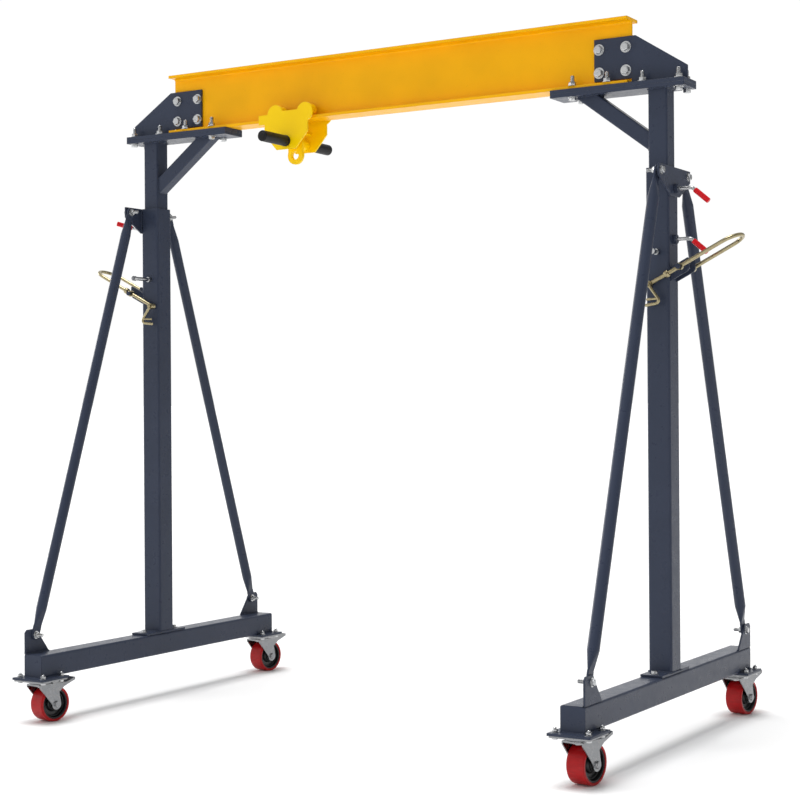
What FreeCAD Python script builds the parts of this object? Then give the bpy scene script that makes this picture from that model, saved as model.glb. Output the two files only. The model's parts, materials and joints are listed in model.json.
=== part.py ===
"""Portable gantry crane: an I-beam on two telescoping legs with swivel casters, and a push trolley.

X runs along the beam, Y along the leg bases, Z up. The origin is on the floor, midway between the legs.
Each leg is described in (out, y, z): "out" is measured from the middle of its post, away from the
crane's middle. Lengths are in millimetres and angles in degrees.
"""
import FreeCAD, Part
import math
import os

V = FreeCAD.Vector

# ---- overall sizes ----
post_spacing = 2100.0        # between the middles of the two posts
base_length = 1400.0
outer_post_top = 1883.0
head_height = 2139.0         # underside of the lower head plate, with the crane fully lowered
beam_end_in = 100.0          # from the middle of a post to the end of the beam

# ---- fits and clearances ----
face_gap = 0.3               # faces and curves that meet on two moving bodies
pin_clearance = 0.1          # radial, a hinge pin in its hole
post_play = 3.0              # each side, between the inner and the outer post
swing_gap = 1.0              # beside an eye on its pin

# ---- steel sections ----
base_side = 80.0
base_wall = 4.0
base_corner = 7.0
outer_side = 80.0
outer_wall = 4.0
outer_corner = 7.0
inner_wall = 4.0
inner_corner = 6.0
inner_length = 1500.0
knee_side = 50.0
knee_wall = 3.0
knee_corner = 5.0
brace_d = 38.0
brace_wall = 3.0

# ---- casters ----
wheel_d = 125.0
wheel_width = 62.0
wheel_corner = 3.0
hub_d = 107.0
hub_width = 58.0
hub_recess = 16.0
hub_rim = 5.0
hub_rim_slope = 3.0
hub_boss_d = 42.0
hub_boss_slope = 4.0
hub_boss_proud = 1.0
axle_d = 12.0
axle_nut_d = 20.0
axle_nut_t = 7.0
cheek_t = 4.0
cheek_gap = 3.0
cheek_front = 33.0           # ahead of the swivel axis
cheek_foot_r = 20.0
cheek_waist = (12.0, 42.0)   # behind and above the axle
cheek_wing = (36.0, 60.0)    # where the waist flares out to the pedal
cheek_tip_h = 9.0
crown_gap = 6.0
crown_t = 5.0
race_d = 78.0
race_h = 12.0
swivel_trail = 40.0
caster_turn = -9.0           # every fork stands turned by this much
pedal_t = 4.0
pedal_reach = 124.0
pedal_slope = 40.0
pedal_rise = 13.0
top_plate = (131.0, 131.0, 6.0)
pad_plate = (140.0, 140.0, 8.0)
pad_overhang = 30.0          # past the end of the base tube

# ---- post foot, braces and their brackets ----
foot_plate = (76.0, 230.0, 8.0)
collar_t = 6.0
collar_h = 94.0
collar_half = 133.0
collar_side_h = 39.0
collar_bolt_y = 115.0
collar_bolt_drop = 20.0
lug_t = 6.0
lug_h = 86.0
lug_foot = 120.0
lug_corner = 10.0
lug_edge = 23.0              # from the bolt to the lug's slanted edge
lug_bolt_in = 47.0
lug_bolt_up = 65.0
strap_t = 6.0
strap_width = 36.0
strap_corner = 2.7
strap_neck = 34.0            # from the bolt to where the tube starts to round
strap_loft = 60.0
spacer_d = 30.0

# ---- crank screws ----
crank_drops = (69.0, 233.0)  # below the top of the outer post
crank_d = 12.0
crank_straight = 46.0        # outside its boss
crank_arm_out = 53.0
crank_arm_side = 45.0
crank_bend = 16.0
grip_d = 18.0
grip_cover = 58.0
grip_ease = 0.1              # radial, between the grip and its arm
grip_cap = 4.0
grip_round = 3.0
crank_angles = {"right": (0.0, 0.0), "left": (-115.0,)}     # the fitted cranks, turned from straight down
boss_d = 30.0
boss_t = 13.0

# ---- lock pins ----
pin_drop = 275.0
pin_d = 14.0
pin_collar_d = 20.0
pin_collar_t = 14.0
pin_knob_d = 18.0
pin_knob_t = 12.0
pin_stands = {"right": 45.0, "left": 100.0}

# ---- jacking levers ----
lever_rod = 13.0
lever_clear = 15.0           # from the side of the outer post to the middle of each arm
lever_angle = 26.9
lever_pivot_stand = 42.0     # from the outer face of the post
lever_pivot_drop = 326.0
lever_tail = 117.0           # pivot to the inner ends
lever_reach = 211.0          # pivot to the middle of the loop's rod
lever_hub_d = 24.0
lever_pin_d = 10.0
lug_pair_y = 26.0            # from the middle of the leg to each bracket plate
lug_pair_t = 6.0
lug_pair_h = 44.0
lug_pair_past = 22.0
lug_pair_corner = 6.0
lever_cap_d = 17.0
lever_cap_t = 6.0

# ---- hooked link ----
link_rod = 10.0
link_eye_d = 21.0
link_pin_d = 8.0
link_elbow = (45.0, -62.0)
link_prong = 54.0
link_prong_drop = 7.0
link_upper_at = 0.78         # of the way down the shank, where the upper prong starts
link_upper_rod = 8.0

# ---- head plates and web plates ----
head_t = 13.0
head_half_y = 54.0
head_in = 375.0
head_past = 100.0
web_plate_t = 8.0
web_plate_in = 232.0
web_plate_past = 95.0
web_plate_h = 150.0          # above the beam's lower flange
web_plate_end_h = 45.0
web_plate_top_in = 84.0
web_notch_gap = 2.0
knee_in = 255.0
knee_foot_drop = 167.0

# ---- beam ----
beam_h = 220.0
flange_w = 88.0
flange_t = 10.0
web_t = 6.0
beam_root = 8.0

# ---- trolley ----
trolley_x = -390.0
side_plate_y = 59.0          # inner face
side_plate_t = 7.0
lobe_r = 34.0
lobe_x = 65.0
lobe_shift = 18.0            # the lobes' middle lies this far from the trolley's
lobe_rise = 56.0             # lobe top above the beam's underside
saddle_rise = 10.0           # the edge between the lobes, above their centres
plate_drop = 109.0           # plate bottom below the beam's underside
plate_half = 95.0
plate_foot_half = 42.0
plate_chamfer_h = 60.0
tab_out = 26.0
tab_drop = 12.0              # below the beam's underside
tab_h = 35.0
trolley_wheel_d = 44.0
trolley_wheel_w = 24.0
trolley_wheel_y = 17.0       # inner side of the wheel
trolley_wheel_round = 2.0
trolley_axle_d = 16.0
bar_d = 44.0
bar_wall = 6.0
bar_up = 30.0                # above the plate's bottom
handle_d = 40.0
handle_l = 150.0
handle_round = 5.0
spacer_rod_d = 12.0
spacer_rod_at = (24.0, 36.0)
eye_t = 12.0
eye_hub_wall = 9.5
eye_r = 33.0
eye_drop = 46.0
eye_hole_r = 15.0
eye_tip = 58.0               # half the angle of the hole's pointed top
eye_waist = 2.0              # the neck's sides lie this far inside the ring's

# ---- places that follow from the sizes above ----
half_span = post_spacing / 2
beam_length = post_spacing - 2 * beam_end_in
inner_side = outer_side - 2 * outer_wall - 2 * post_play
lever_half = outer_side / 2 + lever_clear
lever_pivot_out = outer_side / 2 + lever_pivot_stand
crown_z = wheel_d + crown_gap
race_z = crown_z + crown_t
top_plate_z = race_z + race_h + face_gap
pad_z = top_plate_z + top_plate[2]
base_z = pad_z + pad_plate[2]
base_top = base_z + base_side
post_z = base_top + foot_plate[2]
caster_y = base_length / 2 + pad_overhang - pad_plate[1] / 2
beam_z = head_height + 2 * head_t
flange_top = beam_z + flange_t
bar_z = beam_z - plate_drop + bar_up
lobe_z = beam_z + lobe_rise - lobe_r
lobe_places = (trolley_x + lobe_shift - lobe_x, trolley_x + lobe_shift + lobe_x)
sides = {"right": 1, "left": -1}
ends = {"front": -1, "back": 1}
tip_gap = inner_side / 2 + face_gap


# ---- shapes ----
def box(x0, x1, y0, y1, z0, z1):
    return Part.makeBox(x1 - x0, y1 - y0, z1 - z0, V(x0, y0, z0))


def rod(start, end, d):
    along = end - start
    return Part.makeCylinder(d / 2, along.Length, start, along)


def rounded_wire(w, h, r):
    """A rectangle with rounded corners about the origin, in the XY plane."""
    a = w / 2 - r
    b = h / 2 - r
    edges = []
    for cx, cy, start in ((a, b, 0), (-a, b, 90), (-a, -b, 180), (a, -b, 270)):
        circle = Part.Circle(V(cx, cy, 0), V(0, 0, 1), r)
        edges.append(Part.Arc(circle, math.radians(start), math.radians(start + 90)).toShape())
    points = [(edges[i].Vertexes[1].Point, edges[(i + 1) % 4].Vertexes[0].Point) for i in range(4)]
    return Part.Wire(Part.__sortEdges__(edges + [Part.makeLine(a, b) for a, b in points]))


def tube(side, wall, corner, length):
    """A square tube standing on the XY plane."""
    outer = Part.Face(rounded_wire(side, side, corner))
    inner = Part.Face(rounded_wire(side - 2 * wall, side - 2 * wall, corner - wall + 1))
    return outer.cut(inner).extrude(V(0, 0, length))


def slab(points, normal, thickness):
    """A flat plate from its corners, thickened along normal."""
    return Part.Face(Part.makePolygon(points + points[:1])).extrude(normal * thickness)


def swept(path, ring):
    """The solid that a ring sweeps along a path, turned right side out."""
    solid = Part.Solid(path.makePipeShell([ring], True, False))
    if solid.Volume < 0:
        solid.reverse()
    return solid


def pipe(points, bends, d):
    """A round rod along straight runs joined by arcs; bends are the arcs' radii."""
    edges = []
    start = points[0]
    for before, corner, after, r in zip(points, points[1:], points[2:], bends):
        back = (before - corner).normalize()
        on = (after - corner).normalize()
        half = back.getAngle(on) / 2
        cut = r / math.tan(half)
        bisector = (back + on).normalize()
        middle = corner + bisector * (r / math.sin(half) - r)
        edges.append(Part.makeLine(start, corner + back * cut))
        edges.append(Part.Arc(corner + back * cut, middle, corner + on * cut).toShape())
        start = corner + on * cut
    edges.append(Part.makeLine(start, points[-1]))
    path = Part.Wire(edges)
    first = (points[1] - points[0]).normalize()
    ring = Part.Wire(Part.makeCircle(d / 2, points[0], first))
    return swept(path, ring)


def fuse(shapes):
    return shapes[0].multiFuse(shapes[1:]).removeSplitter()


def on_leg(shape, side):
    """Moves a shape from leg coordinates to its leg; the left leg is the right one mirrored."""
    placed = shape.copy()
    placed.translate(V(half_span, 0, 0))
    return placed if side == 1 else placed.mirror(V(0, 0, 0), V(1, 0, 0))


def write(name, shapes):
    shape = shapes[0] if len(shapes) == 1 else Part.makeCompound(shapes)
    shape.exportStep("parts/%s.step" % name)


# ---- lower legs ----
def base_tube():
    shell = tube(base_side, base_wall, base_corner, base_length - 2 * base_wall)
    shell.translate(V(0, 0, base_wall))
    lids = []
    for z in (0, base_length - base_wall):
        lid = Part.Face(rounded_wire(base_side, base_side, base_corner)).extrude(V(0, 0, base_wall))
        lid.translate(V(0, 0, z))
        lids.append(lid)
    shape = fuse([shell] + lids)
    shape.rotate(V(0, 0, 0), V(1, 0, 0), -90)
    shape.translate(V(0, -base_length / 2, base_z + base_side / 2))
    return shape


def flat_plate(size, y, z):
    return box(-size[0] / 2, size[0] / 2, y - size[1] / 2, y + size[1] / 2, z, z + size[2])


def outer_post():
    shape = tube(outer_side, outer_wall, outer_corner, outer_post_top - post_z)
    shape.translate(V(0, 0, post_z))
    holes = []
    for drop in crank_drops:
        z = outer_post_top - drop
        holes.append(rod(V(0, 0, z), V(outer_side, 0, z), crank_d + 2 * face_gap))
    z = outer_post_top - pin_drop
    holes.append(rod(V(0, 0, z), V(0, -outer_side, z), pin_d))
    return shape.cut(Part.makeCompound(holes))


def collar_plate():
    top = outer_post_top
    out = outer_side / 2
    corner = top - collar_side_h
    outline = [(-collar_half, top), (collar_half, top), (collar_half, corner),
               (outer_side / 2, top - collar_h), (-outer_side / 2, top - collar_h), (-collar_half, corner)]
    plate = slab([V(out, y, z) for y, z in outline], V(1, 0, 0), collar_t)
    hole_z = top - crank_drops[0]
    return plate.cut(rod(V(0, 0, hole_z), V(outer_side, 0, hole_z), crank_d + 2 * face_gap))


def brace_lug(end):
    """A gusset on the base tube, upright at the tube's end and slanted towards the post."""
    outline = [(0, 0), (0, lug_h - lug_corner), (lug_corner, lug_h), (lug_bolt_in + lug_corner, lug_h),
               (lug_bolt_in + lug_edge, lug_bolt_up), (lug_foot, 0)]
    out = base_side / 2 - lug_t
    points = [V(out, end * (base_length / 2 - u), base_top + z) for u, z in outline]
    return slab(points, V(1, 0, 0), lug_t)


def brace(end):
    """A round tube whose two ends are pressed flat, from its base lug up to the collar plate."""
    low = V(0, end * (base_length / 2 - lug_bolt_in), base_top + lug_bolt_up)
    high = V(0, end * collar_bolt_y, outer_post_top - collar_bolt_drop)
    length = (high - low).Length
    start = strap_neck + strap_loft
    body = Part.makeCylinder(brace_d / 2, length - 2 * start, V(0, 0, start))
    bore = Part.makeCylinder(brace_d / 2 - brace_wall, length - 2 * start, V(0, 0, start))
    pieces = [body.cut(bore)]
    for z, way in ((0, 1), (length, -1)):
        flat = rounded_wire(strap_t, strap_width, strap_corner)
        flat.translate(V(0, 0, z + way * strap_neck))
        circle = rounded_wire(brace_d, brace_d, brace_d / 2 - 0.01)
        circle.translate(V(0, 0, z + way * start))
        pieces.append(Part.makeLoft([flat, circle], True))
        neck = box(-strap_t / 2, strap_t / 2, -strap_width / 2, strap_width / 2,
                   min(z, z + way * strap_neck), max(z, z + way * strap_neck))
        tip = Part.makeCylinder(strap_width / 2, strap_t, V(-strap_t / 2, 0, z), V(1, 0, 0))
        pieces.append(fuse([neck, tip]))
    spacer_out = outer_side / 2 - (base_side / 2 - lug_t)
    pieces.append(Part.makeCylinder(spacer_d / 2, spacer_out, V(strap_t / 2, 0, length), V(1, 0, 0)))
    shape = fuse(pieces)
    lean = math.degrees(math.atan2(high.y - low.y, high.z - low.z))
    shape.rotate(V(0, 0, 0), V(1, 0, 0), -lean)
    shape.translate(V(base_side / 2 - lug_t - strap_t / 2, low.y, low.z))
    return shape


def crank_boss(drop, out):
    z = outer_post_top - drop
    return rod(V(out, 0, z), V(out + boss_t, 0, z), boss_d).cut(
        rod(V(0, 0, z), V(out + 2 * boss_t, 0, z), crank_d + 2 * face_gap))


def boss_face(index):
    """How far out the boss of the upper (0) or lower (1) crank ends."""
    return outer_side / 2 + (collar_t if index == 0 else 0) + boss_t


def lever_bracket():
    """Two sloped plates on the outer post, with the pin that the lever turns on."""
    tilt = math.tan(math.radians(lever_angle))
    pivot = V(lever_pivot_out, 0, outer_post_top - lever_pivot_drop)
    half = lug_pair_h / 2
    inner = outer_side / 2
    end = lever_pivot_out + lug_pair_past
    outline = []
    cut = lug_pair_corner
    corners = ((inner, half), (end - cut, half), (end, half - cut), (end, cut - half), (end - cut, -half),
               (inner, -half))
    for out, up in corners:
        outline.append((out, pivot.z + (out - lever_pivot_out) * tilt + up))
    pieces = []
    for way in (-1, 1):
        y = way * lug_pair_y - lug_pair_t / 2
        pieces.append(slab([V(out, y, z) for out, z in outline], V(0, 1, 0), lug_pair_t))
    reach = lever_half + lever_hub_d / 2 + swing_gap
    pieces.append(rod(pivot - V(0, reach, 0), pivot + V(0, reach, 0), lever_pin_d))
    for way in (-1, 1):
        cap = V(0, way * reach, 0)
        pieces.append(rod(pivot + cap, pivot + cap + V(0, way * lever_cap_t, 0), lever_cap_d))
    return fuse(pieces)


def lock_pin(stands):
    z = outer_post_top - pin_drop
    face = -outer_side / 2
    knob = face - stands
    shape = fuse([
        rod(V(0, -tip_gap, z), V(0, knob, z), pin_d),
        rod(V(0, face, z), V(0, face - pin_collar_t, z), pin_collar_d),
        rod(V(0, knob, z), V(0, knob + pin_knob_t, z), pin_knob_d)])
    return shape


# ---- casters ----
def cheek(x):
    """One side of the fork: a slanted leg to the axle, with a wing behind it that carries the pedal."""
    axle_z = wheel_d / 2
    top = crown_z + crown_t
    r = cheek_foot_r
    tip_z = top + pedal_rise
    outline = [(-cheek_front, top), (-cheek_front, crown_z - crown_t), (swivel_trail - r, axle_z),
               (swivel_trail + r, axle_z), (swivel_trail + cheek_waist[0], axle_z + cheek_waist[1]),
               (swivel_trail + cheek_wing[0], axle_z + cheek_wing[1]), (pedal_reach, tip_z - cheek_tip_h),
               (pedal_reach, tip_z), (pedal_reach - pedal_slope, top)]
    leg = slab([V(x, y, z) for y, z in outline], V(1, 0, 0), cheek_t)
    return [leg, Part.makeCylinder(r, cheek_t, V(x, swivel_trail, axle_z), V(1, 0, 0))]


def fork():
    """Crown, two cheeks, axle, swivel race and brake pedal, about the swivel axis, trailing to +Y."""
    inner = wheel_width / 2 + cheek_gap
    outer = inner + cheek_t
    axle_z = wheel_d / 2
    top = crown_z + crown_t
    bend = pedal_reach - pedal_slope
    pieces = [box(-outer, outer, -cheek_front, bend, crown_z, top)] + cheek(inner) + cheek(-outer)
    end = outer + axle_nut_t
    pieces.append(rod(V(-end, swivel_trail, axle_z), V(end, swivel_trail, axle_z), axle_d))
    for way in (-1, 1):
        nut_seat = V(way * outer, swivel_trail, axle_z)
        pieces.append(rod(nut_seat, nut_seat + V(way * axle_nut_t, 0, 0), axle_nut_d))
    pieces.append(Part.makeCylinder(race_d / 2, race_h, V(0, 0, race_z)))
    profile = [V(-outer, bend, top - pedal_t), V(-outer, pedal_reach, top + pedal_rise - pedal_t),
               V(-outer, pedal_reach, top + pedal_rise), V(-outer, bend, top)]
    pieces.append(slab(profile, V(1, 0, 0), 2 * outer))
    return fuse(pieces)


def wheel_tread():
    outer = Part.makeCylinder(wheel_d / 2, wheel_width, V(-wheel_width / 2, 0, 0), V(1, 0, 0))
    outer = outer.makeFillet(wheel_corner, [e for e in outer.Edges if abs(e.Length - math.pi * wheel_d) < 1])
    hole = Part.makeCylinder(hub_d / 2, wheel_width + 2, V(-wheel_width / 2 - 1, 0, 0), V(1, 0, 0))
    return outer.cut(hole)


def wheel_hub():
    """A dished hub with a rim, a web and a boss that runs on the axle."""
    half = hub_width / 2
    rim = hub_d / 2
    boss_r = hub_boss_d / 2
    web_half = half - hub_recess
    boss_end = half + hub_boss_proud
    bore = axle_d / 2 + pin_clearance
    outline = [V(boss_end, bore, 0), V(boss_end, boss_r, 0), V(web_half, boss_r + hub_boss_slope, 0),
               V(web_half, rim - hub_rim - hub_rim_slope, 0), V(half, rim - hub_rim, 0), V(half, rim, 0)]
    profile = outline + [V(-p.x, p.y, 0) for p in reversed(outline)]
    return Part.Face(Part.makePolygon(profile + profile[:1])).revolve(V(0, 0, 0), V(1, 0, 0), 360)


def at_caster(shape, side, end, on_axle):
    placed = shape.copy()
    if on_axle:
        placed.translate(V(0, swivel_trail, wheel_d / 2))
    placed.rotate(V(0, 0, 0), V(0, 0, 1), caster_turn)
    placed.translate(V(side * half_span, end * caster_y, 0))
    return placed


# ---- cranks, levers and links ----
def crank(index):
    z = outer_post_top - crank_drops[index]
    elbow = boss_face(index) + crank_straight
    end = V(elbow + crank_arm_out, 0, z - crank_arm_side)
    return V(tip_gap, 0, z), V(elbow, 0, z), end


def crank_rod(index):
    return pipe(list(crank(index)), [crank_bend], crank_d)


def crank_grip(index):
    """A sleeve over the crank's slanted arm, closed at its end."""
    tip, elbow, end = crank(index)
    way = (end - elbow).normalize()
    start = end - way * grip_cover
    sleeve = rod(start, end + way * grip_cap, grip_d)
    rims = [e for e in sleeve.Edges if abs(e.Length - math.pi * grip_d) < 0.1]
    sleeve = sleeve.makeFillet(grip_round, rims)
    return sleeve.cut(rod(start - way, end, crank_d + 2 * grip_ease))


def turned(shape, index, angle):
    placed = shape.copy()
    placed.rotate(V(0, 0, outer_post_top - crank_drops[index]), V(1, 0, 0), angle)
    return placed


def lever_point(along, y):
    """A point on the lever's plane, measured from the pivot along the lever."""
    slope = math.radians(lever_angle)
    return V(lever_pivot_out + along * math.cos(slope), y,
             outer_post_top - lever_pivot_drop + along * math.sin(slope))


def lever():
    """A long U of round bar: a loop outside the post, a back arm to the pivot and a front arm past it."""
    arms_end = lever_reach - lever_half
    edges = [
        Part.makeLine(lever_point(-lever_tail, -lever_half), lever_point(arms_end, -lever_half)),
        Part.Arc(lever_point(arms_end, -lever_half), lever_point(lever_reach, 0),
                 lever_point(arms_end, lever_half)).toShape(),
        Part.makeLine(lever_point(arms_end, lever_half), lever_point(0, lever_half))]
    along = (lever_point(1, 0) - lever_point(0, 0)).normalize()
    ring = Part.Wire(Part.makeCircle(lever_rod / 2, lever_point(-lever_tail, -lever_half), along))
    pieces = [swept(Part.Wire(edges), ring)]
    bores = []
    width = V(0, lever_rod / 2, 0)
    for way in (-1, 1):
        pivot = lever_point(0, way * lever_half)
        pieces.append(rod(pivot - width, pivot + width, lever_hub_d))
        bores.append(rod(pivot - width * 3, pivot + width * 3, lever_pin_d + 2 * pin_clearance))
    tail = lever_point(-lever_tail, -lever_half)
    pin_end = V(0, -(lever_rod / 2 + 2 * swing_gap + link_rod), 0)
    pieces.append(rod(tail - width, tail + width, lever_hub_d - 2))
    pieces.append(rod(tail, tail + pin_end, link_pin_d))
    pieces.append(rod(tail + pin_end, tail + pin_end + V(0, -4, 0), link_pin_d + 6))
    return fuse(pieces).cut(Part.makeCompound(bores))


def link():
    """A bent rod hung on the lever's tail, with two short prongs that turn back towards the middle."""
    y = -(lever_half + lever_rod / 2 + swing_gap + link_rod / 2)
    eye = lever_point(-lever_tail, y)
    elbow = eye + V(link_elbow[0], 0, link_elbow[1])
    prong = elbow + V(-link_prong, 0, -link_prong_drop)
    shank = (elbow - eye).normalize()
    across = V(0, link_rod / 2, 0)
    start = eye + shank * (link_eye_d / 2 - 2)
    branch = eye + (elbow - eye) * link_upper_at
    upper = branch + V(-link_prong + 14, 0, -2)
    bent = pipe([start, elbow, prong], [link_rod * 1.1], link_rod)
    shape = rod(eye - across, eye + across, link_eye_d).multiFuse([bent, rod(branch, upper, link_upper_rod)])
    return shape.cut(rod(eye - across * 2, eye + across * 2, link_pin_d + 2 * pin_clearance))


# ---- upper frame ----
def inner_post():
    shape = tube(inner_side, inner_wall, inner_corner, inner_length)
    shape.translate(V(0, 0, head_height - inner_length))
    return shape


def head_plate(z):
    return box(-head_in, head_past, -head_half_y, head_half_y, z, z + head_t)


def web_plate():
    """An upright plate bolted to the beam's web, notched over the end of its lower flange."""
    low = beam_z
    top = flange_top + web_plate_h
    beam_end = beam_length / 2 - half_span
    notch_x = beam_end + web_notch_gap
    notch_z = flange_top + beam_root + web_notch_gap
    outline = [(notch_x, low), (web_plate_past, low), (web_plate_past, low + web_plate_end_h),
               (-web_plate_top_in, top), (-web_plate_in, top), (-web_plate_in, notch_z), (notch_x, notch_z)]
    points = [V(x, -web_t / 2 - web_plate_t, z) for x, z in outline]
    return slab(points, V(0, 1, 0), web_plate_t)


def knee():
    """A square tube from the inner post's side up to the lower head plate, cut to meet both."""
    high = V(-knee_in, 0, head_height)
    low = V(-inner_side / 2, 0, head_height - knee_foot_drop)
    along = (high - low).normalize()
    overrun = knee_side
    shape = tube(knee_side, knee_wall, knee_corner, (high - low).Length + 2 * overrun)
    shape.translate(V(0, 0, -overrun))
    shape.rotate(V(0, 0, 0), V(0, 1, 0), math.degrees(math.atan2(along.x, along.z)))
    shape.translate(low)
    foot_z = head_height - 2 * knee_foot_drop
    keep = box(-head_in, -inner_side / 2, -knee_side, knee_side, foot_z, head_height)
    return shape.common(keep)


def beam():
    half_w = flange_w / 2
    half_t = web_t / 2
    low = beam_z
    high = beam_z + beam_h
    right = [(half_w, low), (half_w, low + flange_t), (half_t, low + flange_t),
             (half_t, high - flange_t), (half_w, high - flange_t), (half_w, high)]
    left = [(-y, z) for y, z in reversed(right)]
    shape = slab([V(-beam_length / 2, y, z) for y, z in right + left], V(1, 0, 0), beam_length)
    roots = []
    for edge in shape.Edges:
        middle = edge.CenterOfMass
        inside = low + flange_t - 1 < middle.z < high - flange_t + 1
        if abs(abs(middle.y) - half_t) < 0.1 and inside and abs(edge.Length - beam_length) < 0.1:
            roots.append(edge)
    return shape.makeFillet(beam_root, roots)


# ---- trolley ----
def side_plate(way):
    bottom = beam_z - plate_drop
    y = side_plate_y if way == 1 else -side_plate_y - side_plate_t
    low, high = lobe_places
    left = trolley_x - plate_half
    right = trolley_x + plate_half
    slope_z = bottom + plate_chamfer_h
    outline = [(trolley_x - plate_foot_half, bottom), (trolley_x + plate_foot_half, bottom), (right, slope_z),
               (right, lobe_z), (left, lobe_z), (left, slope_z)]
    pieces = [slab([V(x, y, z) for x, z in outline], V(0, 1, 0), side_plate_t)]
    for x in lobe_places:
        pieces.append(Part.makeCylinder(lobe_r, side_plate_t, V(x, y, lobe_z), V(0, 1, 0)))
    pieces.append(box(low, high, y, y + side_plate_t, lobe_z, lobe_z + saddle_rise))
    tab_z = beam_z - tab_drop
    pieces.append(box(left - tab_out, left + tab_out, y, y + side_plate_t, tab_z, tab_z + tab_h))
    return fuse(pieces)


def trolley_bars():
    """The tube that ties the two side plates, and the thin tie rod above it."""
    across = V(0, side_plate_y, 0)
    middle = V(trolley_x, 0, bar_z)
    shell = rod(middle - across, middle + across, bar_d).cut(
        rod(middle - across, middle + across, bar_d - 2 * bar_wall))
    tie = middle + V(spacer_rod_at[0], 0, spacer_rod_at[1])
    return [shell, rod(tie - across, tie + across, spacer_rod_d)]


def handle(way):
    start = way * (side_plate_y + side_plate_t)
    end = start + way * handle_l
    shape = rod(V(trolley_x, start, bar_z), V(trolley_x, end, bar_z), handle_d)
    far = [e for e in shape.Edges if abs(e.CenterOfMass.y - end) < 0.1]
    return shape.makeFillet(handle_round, [e for e in far if abs(e.Length - math.pi * handle_d) < 0.1])


def trolley_wheel(x, way):
    """A flat wheel on the lower flange, with its axle stub set in the side plate."""
    z = flange_top + face_gap + trolley_wheel_d / 2
    inner = way * trolley_wheel_y
    outer = way * (trolley_wheel_y + trolley_wheel_w)
    wheel = rod(V(x, inner, z), V(x, outer, z), trolley_wheel_d)
    rims = [e for e in wheel.Edges if abs(e.Length - math.pi * trolley_wheel_d) < 0.1]
    wheel = wheel.makeFillet(trolley_wheel_round, rims)
    return fuse([wheel, rod(V(x, outer, z), V(x, way * side_plate_y, z), trolley_axle_d)])


def load_eye():
    """A flat eye that swings on the trolley's tube; its hole is round with a slightly pointed top."""
    eye_z = bar_z - eye_drop
    y = -eye_t / 2
    bore = bar_d / 2 + pin_clearance
    neck = eye_r - eye_waist
    pieces = [Part.makeCylinder(bar_d / 2 + eye_hub_wall, eye_t, V(0, y, bar_z), V(0, 1, 0)),
              Part.makeCylinder(eye_r, eye_t, V(0, y, eye_z), V(0, 1, 0)),
              box(-neck, neck, y, y + eye_t, eye_z, bar_z)]
    tip = math.radians(eye_tip)
    touch_x = eye_hole_r * math.cos(tip)
    touch_z = eye_z + eye_hole_r * math.sin(tip)
    point_z = eye_z + eye_hole_r / math.sin(tip)
    cuts = [Part.makeCylinder(bore, 2 * eye_t, V(0, -eye_t, bar_z), V(0, 1, 0)),
            Part.makeCylinder(eye_hole_r, 2 * eye_t, V(0, -eye_t, eye_z), V(0, 1, 0)),
            slab([V(-touch_x, -eye_t, touch_z), V(touch_x, -eye_t, touch_z), V(0, -eye_t, point_z)],
                 V(0, 1, 0), 2 * eye_t)]
    shape = fuse(pieces).cut(Part.makeCompound(cuts))
    shape.translate(V(trolley_x, 0, 0))
    return shape


# ---- the whole crane ----
def write_leg(name, side):
    def place(shapes):
        return [on_leg(shape, side) for shape in shapes]

    write(name + "_base_tube", place([base_tube()]))
    write(name + "_base_pads", place([flat_plate(pad_plate, end * caster_y, pad_z) for end in ends.values()]))
    write(name + "_post_foot", place([flat_plate(foot_plate, 0, base_top)]))
    write(name + "_outer_post", place([outer_post()]))
    write(name + "_brace_brackets", place([collar_plate(), brace_lug(-1), brace_lug(1)]))
    write(name + "_braces", place([brace(-1), brace(1)]))
    write(name + "_lever_bracket", place([lever_bracket()]))
    write(name + "_crank_bosses", place([crank_boss(drop, boss_face(i) - boss_t)
                                         for i, drop in enumerate(crank_drops)]))
    write(name + "_lock_pin", place([lock_pin(pin_stands[name])]))
    write(name + "_caster_tops", place([flat_plate(top_plate, end * caster_y, top_plate_z)
                                        for end in ends.values()]))
    write(name + "_jack_lever", place([lever()]))
    write(name + "_hook_link", place([link()]))
    for index, angle in enumerate(crank_angles[name]):
        level = ("upper", "lower")[index]
        write("%s_%s_crank" % (name, level), place([turned(crank_rod(index), index, angle)]))
        write("%s_%s_grip" % (name, level), place([turned(crank_grip(index), index, angle)]))
    for end_name, end in ends.items():
        corner = "%s_%s" % (name, end_name)
        write(corner + "_fork", [at_caster(fork(), side, end, False)])
        write(corner + "_tread", [at_caster(wheel_tread(), side, end, True)])
        write(corner + "_hub", [at_caster(wheel_hub(), side, end, True)])


def write_upper_frame():
    def pair(shape):
        return [on_leg(shape, side) for side in sides.values()]

    write("inner_posts", pair(inner_post()))
    write("lower_head_plates", pair(head_plate(head_height)))
    write("upper_head_plates", pair(head_plate(head_height + head_t)))
    write("web_plates", pair(web_plate()))
    write("knee_braces", pair(knee()))
    write("beam", [beam()])


def write_trolley():
    write("trolley_side_plates", [side_plate(-1), side_plate(1)])
    write("trolley_bars", trolley_bars())
    write("trolley_handles", [handle(-1), handle(1)])
    write("trolley_wheels", [trolley_wheel(x, way) for x in lobe_places for way in (-1, 1)])
    write("load_eye", [load_eye()])


os.makedirs("parts", exist_ok=True)
for leg_name, leg_side in sides.items():
    write_leg(leg_name, leg_side)
write_upper_frame()
write_trolley()
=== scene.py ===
"""Looks of a portable gantry crane: finishes for the steelwork, and its bolts, welds and small fittings."""
import json
import math

import bpy
from mathutils import Matrix, Vector


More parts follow.
